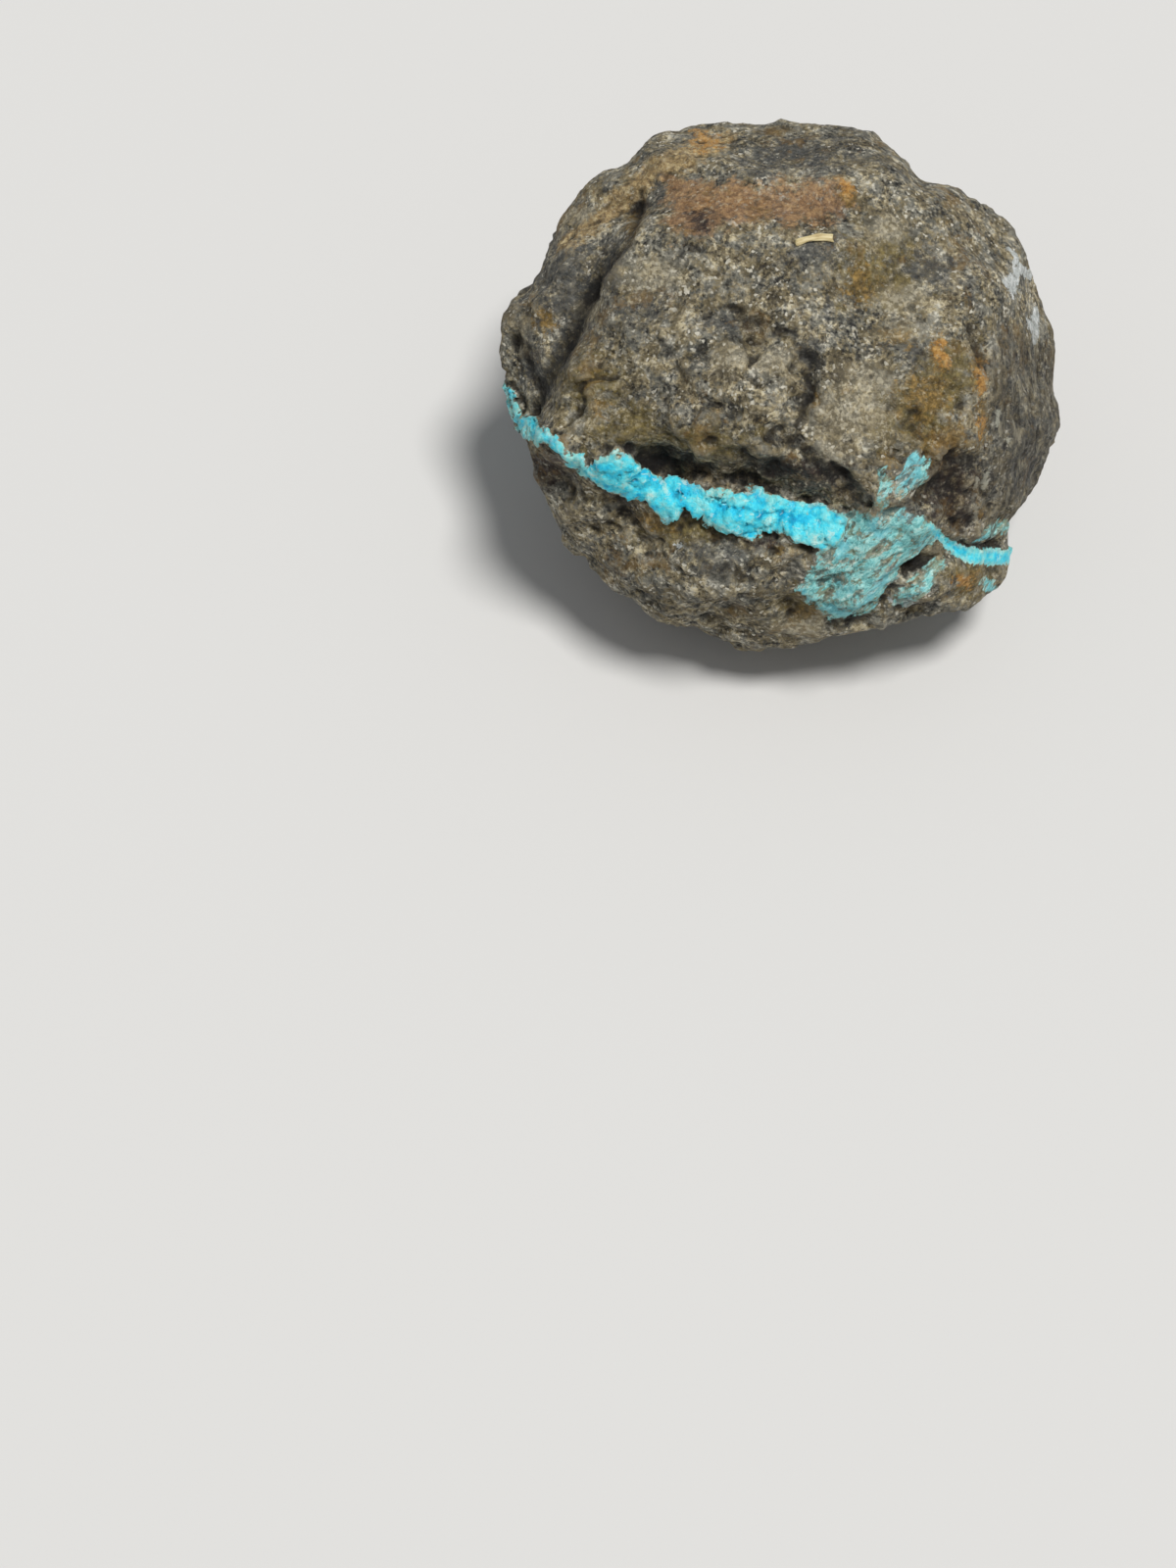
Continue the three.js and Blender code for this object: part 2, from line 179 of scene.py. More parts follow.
# Stains: middle, and half their width and height
OCHRE_SPOTS = (
    ((-18.4, 20), (1.1, 2.2)), ((-29.4, 8), (1.6, 1.6)), ((-22, -3.2), (1, 1.6)), ((4, -1.6), (0.9, 1.5)),
    ((9.8, 12.4), (2.4, 2.8)), ((14.6, 5.6), (1.8, 1.4)), ((19.6, 3.6), (1.5, 2.6)), ((20, -7), (3, 3)),
    ((24.4, 0.8), (1.4, 2.8)), ((24.8, -4.4), (1.2, 4.4)), ((13, -9.8), (1.3, 1.8)),
    ((8, 23.4), (1.4, 1.8)), ((24.9, -15.6), (0.6, 1.4)), ((23.9, -24.6), (2, 1.6)),
    ((-0.4, -20.7), (1.2, 1.2)), ((2.6, -28.8), (2, 1.2)), ((-15, -16.6), (3.4, 1.6)),
    ((17.6, -1.6), (4, 3.4)),
)
ORANGE_SPOTS = (
    ((-9.2, 30.9), (2.6, 1.5)), ((7.8, 24.8), (0.8, 1)), ((19.8, 4), (1, 1.7)), ((24.7, 0.6), (0.9, 2.6)),
    ((24.6, -5), (0.7, 1.8)), ((23.4, -24.8), (1.7, 0.8)),
)
OLIVE_SPOTS = (
    ((-23.6, -0.4), (6, 5)), ((-18, -5.6), (7, 4)), ((16.4, -4), (6, 5)), ((21, 1), (6, 5)),
    ((3, -28), (5, 3)), ((-12, -18), (8, 3)), ((-9, -7), (8, 3)), ((24, -24), (5, 3)), ((12, 14), (6, 6)),
)
SLATE_SPOTS = (
    ((-17, 9.4), (3.8, 2.6)), ((-31, 2), (3, 5)), ((-27, 3), (3, 4)), ((-27, 13), (7, 9)),
    ((-6, 7.6), (4, 1.6)), ((3.4, 3.6), (2.4, 2)), ((2, 28.6), (9, 3)), ((6, 9.4), (1, 1.4)),
    ((5, 16), (5, 2)), ((-15, 24.4), (0.9, 2.6)), ((16.4, 3.4), (1.6, 2.4)), ((30.6, -9), (4, 7)),
    ((-21, 15), (2, 5)), ((-8, -21), (5, 3)), ((18, 14), (7, 3)),
)
UMBER_SPOTS = (
    ((21, -12.6), (4.4, 5)), ((22.4, -16.4), (3.4, 2.4)), ((-9.4, 20.4), (2.8, 1.7)),
    ((-17.6, 22.6), (1.6, 1.2)), ((-14.6, -9.4), (5, 1.6)), ((2.4, -10.4), (7, 1.8)),
    ((-1.6, -19.6), (3, 1)), ((-29, -10), (4, 3)),
)
PALE_SPOTS = (
    ((8.6, -3.6), (5, 3.6)), ((11, 0.6), (3.4, 2.2)), ((7, -8), (2.6, 2)), ((-6, 3), (2.2, 1.6)),
    ((-1, 2.6), (2.6, 1.6)), ((15, 6.6), (2.2, 1.6)), ((-32.6, 6.4), (1, 2)), ((-24, 9.8), (1.6, 1.2)),
    ((14.6, 10.6), (3, 1.6)), ((-15.4, 13.6), (3.6, 2)), ((2.4, -30.4), (4, 1.8)),
    ((-25.6, 21.4), (1.6, 1)), ((13, 19), (3, 2)), ((17.6, -20.9), (1.3, 1.4)),
)

# Where the seam comes out again round the back: the plane it lies in
SEAM_PLANE = np.array((0.317, 0.923, 0.217))
SEAM_PLANE_REACH = -11.1

# Chip of chopped straw lying on the stone, in mm
STRAW_ENDS = ((1.9, 17.3), (6.4, 17.9))
STRAW_WIDTH = 0.9
STRAW_THICKNESS = 0.45
STRAW_BEND = 0.35
STRAW_FRAY = 0.12  # how far its ends are torn
STRAW_SUNK = 0.15  # how far it lies in the stone's unevenness
STRAW_REACH = 0.6  # how far round each of its rings the stone's top is looked for
STRAW_RINGS = 14
STRAW_SIDES = 10
STRAW_BUMP = 0.05

# Mottled tones from dark to pale, in 0 to 255 as they look on screen
GREY_TONES = ((34, 33, 31), (80, 79, 72), (115, 113, 102), (148, 144, 130), (206, 202, 186))
BROWN_TONES = ((32, 27, 18), (78, 70, 51), (115, 103, 75), (148, 134, 101), (202, 188, 152))
SLATE_TONES = ((34, 35, 36), (68, 69, 68), (104, 103, 98))
OLIVE_TONES = ((50, 41, 18), (98, 85, 44), (140, 123, 72))
RED_TONES = ((84, 60, 46), (144, 110, 76), (190, 154, 108))
WARM_TONES = ((116, 78, 38), (152, 110, 60), (182, 142, 92))
UMBER_TONES = ((24, 18, 16), (54, 43, 38), (82, 68, 60))
STRIP_TONES = ((60, 50, 38), (158, 132, 88), (218, 198, 150))
OCHRE_TONES = ((58, 46, 20), (114, 91, 46), (174, 140, 78))
ORANGE_TONES = ((124, 84, 38), (184, 134, 66), (212, 172, 112))
RUST_TONES = ((76, 54, 22), (118, 92, 48), (146, 120, 72))
CRUST_TONES = ((136, 137, 130), (200, 205, 202), (248, 248, 246))
TEAL_TONES = ((58, 110, 106), (100, 172, 170), (142, 210, 206), (180, 230, 220), (238, 248, 236))
SKY_TONES = ((8, 150, 200), (30, 204, 240), (76, 228, 246), (132, 238, 242), (206, 246, 236))
RIM_TONES = ((104, 200, 192), (164, 214, 196), (214, 220, 196))
STRAW_TONES = ((164, 140, 90), (206, 188, 138), (232, 218, 176))
TONES_SPAN = (0.32, 0.68)  # the part of a noise's range that the tones are spread over

# Single colours, given in the same way
SOOT = (48, 46, 43)
CRYSTAL = (216, 210, 192)
DARK_GRAIN = (30, 27, 23)
PALE_FILM = (172, 160, 130)
PALE_GRAIN = (200, 190, 164)
FLANK_ROCK = (56, 54, 51)
FLANK_STREAK = (150, 142, 120)
FLANK_GAP = (32, 29, 26)
DASH = (186, 184, 166)
# The next four: dirt and painted shade, then painted shade in wide hollows, in the groove and in the
# recesses
DIRT_AND_SHADE = (22, 18, 13)
HOLLOW_SHADE = (114, 99, 80)
GROOVE_SHADE = (118, 116, 110)
RECESS_SHADE = (132, 114, 92)
# Rubbed edges, partly a painted highlight
RUBBED_EDGE_AND_HIGHLIGHT = (160, 150, 126)
FAN_RUST = (134, 128, 92)
FAN_BLUE = (104, 198, 216)
SEAM_JOINT = (30, 140, 156)
# Painted shade in the seam's small hollows
SEAM_HOLLOW_SHADE = (14, 104, 128)
SEAM_THREAD = (216, 244, 232)
SEAM_SPECK = (182, 168, 130)
FLOOR = (214, 212, 208)

# Gloss: dull rock, waxy turquoise
ROCK_ROUGHNESS = (0.95, 0.62)  # of the dullest and the glossiest grains
SEAM_ROUGHNESS = 0.5
STRAW_ROUGHNESS = 0.6
FLOOR_ROUGHNESS = 0.8
STONE_SPECULAR = 0.35
GRIT_BUMP = 0.4  # mm

# Stage and light
FLOOR_SIZE = 6.0
SKY_COLOUR = (0.9, 0.94, 1.0, 1.0)
SKY_STRENGTH = 0.28
SUN_FROM = (0.25, -0.14, 0.96)
SUN_POWER = 2.85
SUN_WIDTH = math.radians(14)

# The photograph's view: pixels of a 1200 by 1600 frame, and the real size that one of them spans
PHOTO_WIDTH = 1200
PHOTO_HEIGHT = 1600
STONE_AT = (796, 393)
MM_PER_PIXEL = 0.125
LENS = 100.0
SENSOR = 36.0


def to_face(metres):
    return (metres / MM - MIDDLE) @ FACE_AXES.T


def from_face(mm):
    return (mm @ FACE_AXES + MIDDLE) * MM


# Repeatable unevenness


def chance(cells, seed):
    """A repeatable number from 0 to 1 for each whole-numbered cell. The large factors scatter them."""
    mask = 0xFFFFFFFF
    mixed = cells[..., 0] * 374761393 + cells[..., 1] * 668265263 + cells[..., 2] * 1013904223
    mixed = (mixed + seed * 1274126177) & mask
    mixed = ((mixed ^ (mixed >> 13)) * 1103515245) & mask
    mixed = ((mixed ^ (mixed >> 16)) * 1274126177) & mask
    return ((mixed ^ (mixed >> 15)) & mask) / mask


def chances(cells, seed):
    return np.stack([chance(cells, seed + k) for k in range(3)], -1)


def uneven(places, spacing, seed):
    """Smooth unevenness at each place, drawn out so that it goes from about -1 to 1."""
    scaled = places / spacing
    cell = np.floor(scaled).astype(np.int64)
    inside = scaled - cell
    blend = inside**3 * (inside * (inside * 6 - 15) + 10)
    total = np.zeros(places.shape[:-1])
    for corner in itertools.product((0, 1), repeat=3):
        corner = np.array(corner)
        slope = chances(cell + corner, 3 * seed) * 2 - 1
        weight = np.prod(np.where(corner == 1, blend, 1 - blend), axis=-1)
        total += weight * ((inside - corner) * slope).sum(-1)
    return total * 1.6


def ridged(places, spacing, seed):
    """Unevenness from -1 to 1 with sharp crests and round valleys."""
    return 1 - 3.2 * np.abs(uneven(places, spacing, seed))


def shaken(places, spacing, reach, seed):
    """Places moved about by up to the reach."""
    return places + reach * np.stack([uneven(places, spacing, seed + k) for k in range(3)], -1)


def crumbs(places, spacing, seed):
    """How far each place is from its nearest crumb of rock and the next, the way from it and its cell."""
    scaled = places / spacing
    home = np.floor(scaled).astype(np.int64)
    near = np.full(len(places), 9.0)
    after = np.full(len(places), 9.0)
    way = np.zeros_like(places)
    cell = np.zeros_like(home)
    for step in itertools.product((-1, 0, 1), repeat=3):
        there = home + np.array(step)
        gap = scaled - there - chances(there, 5 * seed)
        distance = np.sqrt((gap**2).sum(-1))
        closer = distance < near
        after = np.where(closer, near, np.minimum(after, distance))
        near = np.where(closer, distance, near)
        way = np.where(closer[:, None], gap, way)
        cell = np.where(closer[:, None], there, cell)
    return near, after, way, cell


def broken(places, spacing, seed, offset, tilt):
    """Flat breaks, each with its own height and slope."""
    _, _, way, cell = crumbs(shaken(places, spacing * 0.6, spacing * 0.3, seed + 50), spacing, seed)
    slopes = chances(cell, 7 * seed) * 2 - 1
    height = chance(cell, 7 * seed + 3) * 2 - 1
    return offset * height + tilt * spacing * (way * slopes).sum(-1)


def step_between(value, low, high):
    """0 below low, 1 above high and smooth between."""
    share = np.clip((value - low) / (high - low), 0, 1)
    return share * share * (3 - 2 * share)


# Distances to what is drawn on the face, in mm, positive inside


def beside(start, end, x, y):
    """How far along a straight stretch each place lies, from 0 to 1, and its distance from the stretch."""
    ax, ay = start
    bx, by = end
    along = ((x - ax) * (bx - ax) + (y - ay) * (by - ay)) / ((bx - ax) ** 2 + (by - ay) ** 2)
    along = np.clip(along, 0, 1)
    return along, np.hypot(x - ax - along * (bx - ax), y - ay - along * (by - ay))


def within_line(line, x, y):
    """How far each place is inside a band: each point of its middle line has its own half width."""
    best = np.full(x.shape, -FAR)
    for (*start, half), (*end, next_half) in zip(line, line[1:]):
        along, distance = beside(start, end, x, y)
        best = np.maximum(best, half + along * (next_half - half) - distance)
    return best


def within_lines(lines, x, y):
    return np.max([within_line(line, x, y) for line in lines], axis=0)


def within_outline(outline, x, y):
    """How far each place is inside a closed outline."""
    inside = np.zeros(x.shape, bool)
    distance = np.full(x.shape, FAR)
    for start, end in zip(outline, outline[1:] + outline[:1]):
        distance = np.minimum(distance, beside(start, end, x, y)[1])
        (ax, ay), (bx, by) = start, end
        if ay != by:
            reach = ax + (y - ay) * (bx - ax) / (by - ay)
            inside ^= ((ay > y) != (by > y)) & (x < reach)
    return np.where(inside, distance, -distance)


def within_spots(spots, x, y):
    """1 in the middle of a spot, 0 at its edge and less outside."""
    return np.max([1 - np.hypot((x - mx) / w, (y - my) / h) for (mx, my), (w, h) in spots], axis=0)


# The stone's mesh


def dense_copy(node, name):
    """A finely divided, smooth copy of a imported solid."""
    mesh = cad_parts[node].data.copy()
    mesh.materials.clear()
    welded = bmesh.new()
    welded.from_mesh(mesh)
    bmesh.ops.remove_doubles(welded, verts=welded.verts, dist=WELD_DISTANCE)
    welded.to_mesh(mesh)
    welded.free()
    piece = bpy.data.objects.new(name, mesh)
    bpy.context.scene.collection.objects.link(piece)
    finer = piece.modifiers.new("finer", "SUBSURF")
    finer.levels = REFINE_LEVELS
    finer.render_levels = REFINE_LEVELS
    graph = bpy.context.evaluated_depsgraph_get()
    piece.data = bpy.data.meshes.new_from_object(piece.evaluated_get(graph))
    piece.data.name = name
    piece.modifiers.clear()
    return piece


def read_vectors(items, what):
    flat = np.empty(len(items) * 3)
    items.foreach_get(what, flat)
    return flat.reshape(-1, 3)


def write_places(mesh, places):
    mesh.vertices.foreach_set("co", places.ravel())
    mesh.update()


def mesh_edges(mesh):
    flat = np.empty(len(mesh.edges) * 2, np.int32)
    mesh.edges.foreach_get("vertices", flat)
    return flat.reshape(-1, 2)


def neighbour_average(values, edges, rounds):
    """Each vertex's values averaged with its neighbours', a number of times over."""
    count = len(values)
    ends = np.concatenate((edges[:, 0], edges[:, 1]))
    others = np.concatenate((edges[:, 1], edges[:, 0]))
    share = np.bincount(ends, minlength=count)[:, None] + 1
    for _ in range(rounds):
        sums = [np.bincount(ends, weights=column[others], minlength=count) for column in values.T]
        values = (values + np.stack(sums, -1)) / share
    return values


def add_attribute(mesh, name, values):
    vector = values.ndim == 2
    layer = mesh.attributes.new(name, "FLOAT_VECTOR" if vector else "FLOAT", "POINT")
    layer.data.foreach_set("vector" if vector else "value", values.astype(np.float32).ravel())


def slanted(p):
    """Places turned so that the fan's foliation runs along the first axis."""
    turn, side = math.cos(FAN_SLANT), math.sin(FAN_SLANT)
    return np.stack((p[:, 0] * turn + p[:, 1] * side, p[:, 1] * turn - p[:, 0] * side, p[:, 2]), -1)


def with_forms_moved(p):
    """Places with a few forms of the face's outline swelled or drawn in."""
    moved = p.copy()
    front = step_between(p[:, 2], *MOVED_FROM)
    for x, y, reach, right, up in MOVED_FORMS:
        share = 1 - step_between(np.hypot(p[:, 0] - x, p[:, 1] - y), 0, reach)
        moved[:, 0] += right * share * front
        moved[:, 1] += up * share * front
    return moved


def back_seam_field(p, behind):
    """The seam where its plane comes out again behind, wide in some places and gone in others."""
    patchy = uneven(p, 11, seed=41) + 0.5 * uneven(p, 4, seed=42)
    wavy = 1.8 * uneven(p, 7, seed=43) + 0.6 * uneven(p, 2.2, seed=44)
    from_plane = np.abs(p @ SEAM_PLANE - SEAM_PLANE_REACH + wavy)
    return 1.5 + 2 * patchy - from_plane - FAR * (1 - behind)


def seam_fields(p, x, y, off_front, back_seam):
    """The seam, whose edge follows its nodules: each of them is wholly in it or out of it."""
    near, after, way, cell = crumbs(shaken(p, 1.2, 0.25, seed=46), KNOT_SPACING, seed=47)
    knots = p - way * KNOT_SPACING
    knotted = within_line(SEAM, knots[:, 0], knots[:, 1]) + 0.3 + 0.9 * (chance(cell, seed=48) - 0.5)
    seam = 0.65 * np.clip(knotted, -2, 2) + 0.35 * within_line(SEAM, x, y)
    thin_seam = within_line(THIN_SEAM, 0.5 * (x + p[:, 0]), 0.5 * (y + p[:, 1])) - off_front
    seam = np.maximum(seam - off_front, thin_seam - 0.1)
    return {
        "seam": np.maximum(seam, back_seam),
        "thin_seam": thin_seam,
        "knot": chance(cell, seed=49),
        "knot_round": 1 - near,
        "knot_edge": after - near,
    }


def fan_fields(p, x, y, off_front, back_seam):
    """The muted turquoise below the seam, with the foliation that runs across it."""
    fan_x, fan_y = 0.5 * (x + p[:, 0]), 0.5 * (y + p[:, 1])
    fan = np.maximum(within_outline(FAN, fan_x, fan_y), within_lines(TEAL_LINES, fan_x, fan_y) + 0.3)
    fan = np.maximum(fan, within_outline(TONGUE, fan_x, fan_y) + 0.15) - off_front
    on_slant = slanted(p)
    return {
        "fan": np.maximum(fan, back_seam - 0.2 + 1.6 * uneven(p, 5, seed=45)),
        "ledge": ridged(on_slant / np.array((6, 1, 1.5)), 1.25, seed=80),
        "ledge_fine": ridged(on_slant / np.array((4, 1, 1.2)), 0.6, seed=81),
    }


def face_fields(p):
    """Everything that is drawn on the stone, for each place in the face frame."""
    # Places are shaken, so that what is drawn gets rough edges
    moved = shaken(shaken(p, 3.4, 0.8, seed=20), 1.2, 0.3, seed=30)
    x, y = moved[:, 0], moved[:, 1]
    off_front = FAR * (1 - step_between(p[:, 2], *DRAWN_FROM))
    behind = 1 - step_between(p[:, 2], *BACK_UP_TO)
    back_seam = back_seam_field(p, behind)
    fields = seam_fields(p, x, y, off_front, back_seam)
    fields.update(fan_fields(p, x, y, off_front, back_seam))
    spots = {
        "ochre": OCHRE_SPOTS,
        "orange": ORANGE_SPOTS,
        "olive": OLIVE_SPOTS,
        "slate": SLATE_SPOTS,
        "umber": UMBER_SPOTS,
        "pale": PALE_SPOTS,
    }
    for name, places in spots.items():
        fields[name] = within_spots(places, x, y) - off_front
    upright = (1 - step_between(p[:, 1], 3, 9)) * step_between(p[:, 1], -20, -14)
    fields.update({
        "crust": within_lines(CRUST, x, y) - 0.25 * np.clip(-p[:, 2], 0, 9) - off_front,
        "dashes": within_lines(PALE_DASHES, p[:, 0], p[:, 1]) - off_front,
        "crevice": within_lines(CREVICES, x, y) - off_front,
        "groove": within_line(GROOVE, 0.7 * p[:, 0] + 0.3 * x, 0.7 * p[:, 1] + 0.3 * y) - off_front,
        "recess": within_lines(RECESSES, x, y) - off_front,
        "strip": within_line(STRIP, x, y) - off_front,
        "red": within_outline(RED_BAND, x, y) - off_front,
        "flank": step_between(p[:, 0], 24, 26.5) * upright,
        "flank_lines": ridged(p / np.array((1, 8, 3)), 1, seed=84),
        "behind": behind,
    })
    return fields


# Relief in mm


def rock_relief(p, fields, edges):
    """Broken, weathered surface: flat breaks, ridges, cracks, pits and grit."""
    # The face is calm above a line that falls away to the right
    smooth_top = step_between(p[:, 1] + 0.35 * p[:, 0], 3, 13) * step_between(p[:, 2], -6, 4)
    craggy = 1 - 0.62 * smooth_top
    craggy *= 1 - 0.6 * step_between(fields["red"], -1, 1)
    craggy *= 1 - 0.65 * np.maximum(fields["flank"], step_between(fields["groove"], -5, -1.5))
    craggy *= 0.9 + 0.6 * uneven(p, 9, seed=90)
    bent = shaken(p, 4, 1.2, seed=91)
    behind = 1 - step_between(p[:, 2], *SOFT_UP_TO)
    breaks = 0.26 * broken(p, 8, seed=51, offset=1, tilt=0.5)
    breaks += (1 - 0.4 * behind) * broken(p, 3.4, seed=60, offset=0.19, tilt=0.22)
    breaks += 0.35 * behind * broken(p, 13, seed=55, offset=1, tilt=0.5)
    breaks = neighbour_average(breaks[:, None], edges, 2)[:, 0]
    ridges = 0.16 * ridged(bent, 5, seed=63) + 0.05 * ridged(bent, 1.9, seed=64)
    cracked = np.clip(ridged(bent, 6, seed=67) - 0.7, 0, 1) * step_between(uneven(p, 7, seed=69), 0, 0.4)
    pit_near, _, _, pit_cell = crumbs(shaken(p, 1, 0.5, seed=92), 3.2, seed=66)
    pitted = (chance(pit_cell, seed=93) > 0.9 + 0.06 * behind) * (1 - step_between(pit_near, 0.05, 0.45))
    grit = 0.09 * uneven(p, 1.05, seed=65) + 0.08 * uneven(p, 0.7, seed=68)
    return craggy * (breaks + ridges - CRACK_DEPTH * cracked - PIT_DEPTH * pitted) + grit


def seam_relief(p, fields):
    """Round nodules, lower where the seam is thin."""
    nodules = SEAM_HEIGHT + 0.4 * fields["knot"] + 0.14 * fields["knot_round"]
    nodules += broken(p, 1.3, seed=98, offset=0.14, tilt=0.3)
    nodules += 0.1 * ridged(p, 0.95, seed=99)
    return nodules * (1 - 0.65 * step_between(fields["thin_seam"], -1.5, -0.5))


def line_relief(p, fields, on_fan):
    """Fine parallel lines: the fan's ledges, and those of the flank and the ochre strip."""
    ledges = (LEDGE_HEIGHT * fields["ledge"] + FINE_LEDGE_HEIGHT * fields["ledge_fine"]) * on_fan
    flank = FLANK_LINE_HEIGHT * fields["flank_lines"] * fields["flank"]
    lines = STRIP_LINE_HEIGHT * ridged(slanted(p) / np.array((3, 1, 1)), 1.3, seed=95)
    return ledges + flank + lines * step_between(fields["strip"], -1, 0.5)


def sunken(p, fields):
    """How deep the groove, the recesses and the crevices lie."""
    in_crevice = step_between(fields["crevice"] + 0.6 * uneven(p, 1.5, seed=94), -1.3, 0.6)
    in_groove = step_between(fields["groove"] + 0.2 * uneven(p, 2, seed=96), -0.8, 0.9)
    in_recess = step_between(fields["recess"] + 0.6 * uneven(p, 2, seed=97), -1.8, 1.6)
    depths = (GROOVE_DEPTH * in_groove, RECESS_DEPTH * in_recess, CREVICE_DEPTH * in_crevice)
    return np.max(depths, axis=0)


def filled_in(p):
    """How far the solid's hollows are filled."""
    total = np.zeros(len(p))
    for x, y, reach, filled in FILLED:
        share = 1 - step_between(np.hypot(p[:, 0] - x, p[:, 1] - y), 0.3 * reach, reach)
        total += filled * share * step_between(p[:, 2], *DRAWN_FROM)
    return total


def whole_relief(p, fields, edges):
    on_seam = step_between(fields["seam"], -0.4, 0.3)
    on_fan = step_between(fields["fan"], -0.6, 0.6) * (1 - on_seam)
    relief = rock_relief(p, fields, edges) * (1 - 0.8 * on_seam) * (1 - 0.5 * on_fan)
    relief += seam_relief(p, fields) * on_seam
    relief += line_relief(p, fields, on_fan)
    relief += filled_in(p)
    relief -= sunken(p, fields) * (1 - on_seam)
    height = from_face(p)[:, 2] / MM
    return relief * step_between(height, 0.05, BASE_HELD)


def build_stone():
    piece = dense_copy("nugget", "stone_surface")
    mesh = piece.data
    edges = mesh_edges(mesh)
    p = to_face(read_vectors(mesh.vertices, "co"))
    # The smooth division rounds the solid's breaks off, so they are drawn out again
    eased = neighbour_average(p, edges, EASE_ROUNDS)
    p = with_forms_moved(eased + DRAWN_OUT * (eased - neighbour_average(eased, edges, WIDE_ROUNDS)))
    write_places(mesh, from_face(p))
    normals = read_vectors(mesh.vertices, "normal") @ FACE_AXES.T
    fields = face_fields(p)
    relief = whole_relief(p, fields, edges)
    final = from_face(p + normals * relief[:, None])
    final[:, 1] *= DEPTH_KEPT
    final[:, 2] = np.maximum(final[:, 2], 0)
    write_places(mesh, final)
    done = to_face(final)
    fields["proud"] = ((done - neighbour_average(done, edges, NARROW_ROUNDS)) * normals).sum(-1)
    fields["wide_proud"] = ((done - neighbour_average(done, edges, WIDE_ROUNDS)) * normals).sum(-1)
    fields["face_place"] = done
    fields["slant_place"] = slanted(done)
    for name, values in fields.items():
        add_attribute(mesh, name, values)
    mesh.shade_smooth()
    mesh.materials.append(stone_material())
    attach(piece, "root")
    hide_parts("nugget")
    return piece


# Materials


def colour(red, green, blue):
    """A colour given in 0 to 255 as it looks on screen, for Blender's linear sockets."""
    linear = []
    for part in (red, green, blue):
        part /= 255
        linear.append(part / 12.92 if part <= 0.04045 else ((part + 0.055) / 1.055) ** 2.4)
    return (*linear, 1.0)


class Look:
    """A material's node tree, with a short call for each kind of node used here."""

    def __init__(self, name):
        self.material = bpy.data.materials.new(name)
        self.material.use_nodes = True
        self.tree = self.material.node_tree
        self.shader = self.tree.nodes["Principled BSDF"]

    def join(self, source, socket):
        """Sets a socket to a number or colour, or links it to another socket."""
        if isinstance(source, bpy.types.NodeSocket):
            self.tree.links.new(source, socket)
        else:
            socket.default_value = source

    def attribute(self, name, output="Fac"):
        node = self.tree.nodes.new("ShaderNodeAttribute")
        node.attribute_name = name
        return node.outputs[output]

    def maths(self, operation, a, b):
        node = self.tree.nodes.new("ShaderNodeMath")
        node.operation = operation
        self.join(a, node.inputs[0])
        self.join(b, node.inputs[1])
        return node.outputs[0]

    def add(self, *parts):
        """The sum of shares of values, each given with the share that it counts for."""
        total = None
        for value, share in parts:
            part = self.maths("MULTIPLY", value, share)
            total = part if total is None else self.maths("ADD", total, part)
        return total

    def spread(self, value, low, high, out_low=0.0, out_high=1.0, smooth=True):
        """A value mapped from one range to another, held at the ends."""
        node = self.tree.nodes.new("ShaderNodeMapRange")
        node.interpolation_type = "SMOOTHSTEP" if smooth else "LINEAR"
        for index, source in enumerate((value, low, high, out_low, out_high)):
            self.join(source, node.inputs[index])
        return node.outputs[0]

    def stretched(self, place, scale):
        node = self.tree.nodes.new("ShaderNodeMapping")
        self.join(place, node.inputs["Vector"])
        node.inputs["Scale"].default_value = scale
        return node.outputs[0]

    def noise(self, place, size, detail, roughness, distortion=0.0):
        """Cloudy noise whose largest lumps are about size mm."""
        node = self.tree.nodes.new("ShaderNodeTexNoise")
        self.join(place, node.inputs["Vector"])
        node.inputs["Scale"].default_value = 1 / size
        node.inputs["Detail"].default_value = detail
        node.inputs["Roughness"].default_value = roughness
        node.inputs["Distortion"].default_value = distortion
        return node.outputs["Fac"]

    def rough(self, place, size, detail, roughness):
        """Noise about zero, which frays the edge of what is drawn."""
        return self.maths("SUBTRACT", self.noise(place, size, detail, roughness), 0.5)

    def grains(self, place, size):
        """Crumbs about size mm across, with a number for each."""
        node = self.tree.nodes.new("ShaderNodeTexVoronoi")
        self.join(place, node.inputs["Vector"])
        node.inputs["Scale"].default_value = 1 / size
        apart = self.tree.nodes.new("ShaderNodeSeparateColor")
        self.tree.links.new(node.outputs["Color"], apart.inputs[0])
        return apart.outputs[0]

    def ramp(self, value, tones):
        """Tones evenly spaced over the middle of a noise's range."""
        node = self.tree.nodes.new("ShaderNodeValToRGB")
        self.join(value, node.inputs[0])
        marks = node.color_ramp.elements
        while len(marks) < len(tones):
            marks.new(1.0)
        first, last = TONES_SPAN
        step = (last - first) / (len(tones) - 1)
        for k, (mark, tone) in enumerate(zip(marks, tones)):
            mark.position = first + k * step
            mark.color = colour(*tone)
        return node.outputs[0]

    def blend(self, share, under, over, kind="MIX"):
        """One colour laid over another in the given share."""
        node = self.tree.nodes.new("ShaderNodeMix")
        node.data_type = "RGBA"
        node.blend_type = kind
        self.join(share, node.inputs[0])
        self.join(under, node.inputs[6])
        self.join(over, node.inputs[7])
        return node.outputs[2]

    def bump(self, height, strength, distance):
        node = self.tree.nodes.new("ShaderNodeBump")
        node.inputs["Strength"].default_value = strength
        node.inputs["Distance"].default_value = distance
        self.join(height, node.inputs["Height"])
        return node.outputs[0]


